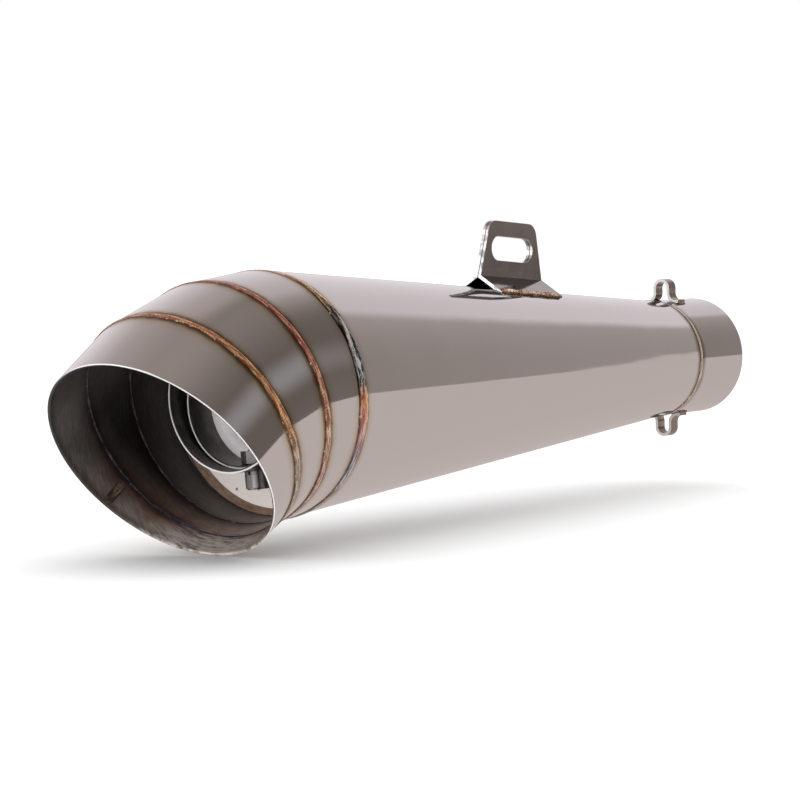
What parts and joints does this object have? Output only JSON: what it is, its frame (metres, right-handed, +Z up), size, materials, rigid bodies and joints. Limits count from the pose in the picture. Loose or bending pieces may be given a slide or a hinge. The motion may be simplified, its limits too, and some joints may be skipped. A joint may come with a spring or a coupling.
{
  "type": "motorcycle exhaust muffler",
  "caption": "Tapered steel motorcycle muffler with a turned-down mitred mouth, a removable baffle insert, a slotted hanger and spring hooks.",
  "frame": {"origin": "centre of the inlet collar's open end face", "axes": "+X along the muffler's axis, out of the inlet; the body runs to the mouth at -X. +Z up, towards the hanger; the mouth turns down towards -Z. +Y to the left, seen along +X"},
  "size_m": [0.4212, 0.0996, 0.1263],
  "materials": {
    "polished_stainless": "mirror-polished stainless sheet",
    "weld_bead": "rippled weld with straw, bronze and blue heat tint",
    "end_plate_steel": "satin, faintly heat-tinted",
    "inner_steel": "brushed, darkened by heat",
    "insert_steel": "satin stainless",
    "packing": "matted glass-fibre wool",
    "fasteners": "bright stainless"
  },
  "bodies": {
    "root": {"inlet_collar": "polished_stainless", "cone_shell": "polished_stainless", "elbow_ring_1": "polished_stainless", "elbow_ring_2": "polished_stainless", "mouth_segment": "polished_stainless", "inlet_weld": "weld_bead", "elbow_weld_1": "weld_bead", "elbow_weld_2": "weld_bead", "elbow_weld_3": "weld_bead", "mouth_seam_weld": "weld_bead", "end_plate": "end_plate_steel", "end_plate_weld": "weld_bead", "outlet_pipe": "inner_steel", "outlet_pipe_weld": "weld_bead", "perforated_core": "inner_steel", "core_rear_ring": "inner_steel", "packing_wool": "packing", "clamp_nut": "fasteners", "hanger_left": "polished_stainless", "hanger_right": "polished_stainless", "hanger_welds": "weld_bead", "spring_hook_top": "polished_stainless", "spring_hook_bottom": "polished_stainless", "hook_welds": "weld_bead"},
    "insert": {"insert_sleeve": "insert_steel", "insert_end_ring": "insert_steel", "insert_perforated_tube": "inner_steel", "insert_end_cap": "inner_steel"},
    "washer": {"lock_washer": "fasteners"},
    "screw": {"retaining_screw": "fasteners"}
  },
  "joints": [
    {"name": "insert_slide", "type": "slide", "parent": "root", "child": "insert", "axis": [-1, 0, 0], "range_m": [0, 0.062]},
    {"name": "screw_back_out", "type": "slide", "parent": "root", "child": "washer", "axis": [0, -0.1045, -0.9945], "range_m": [0, 0.006]},
    {"name": "screw_turn", "type": "hinge", "parent": "washer", "child": "screw", "pos_m": [-0.3365, 0, 0], "axis": [0, -0.1045, -0.9945], "range_deg": [0, 2160]}
  ],
  "couplings": [
    {"joint": "screw_turn", "follows": "screw_back_out", "rad_per_m": 6283.2}
  ]
}
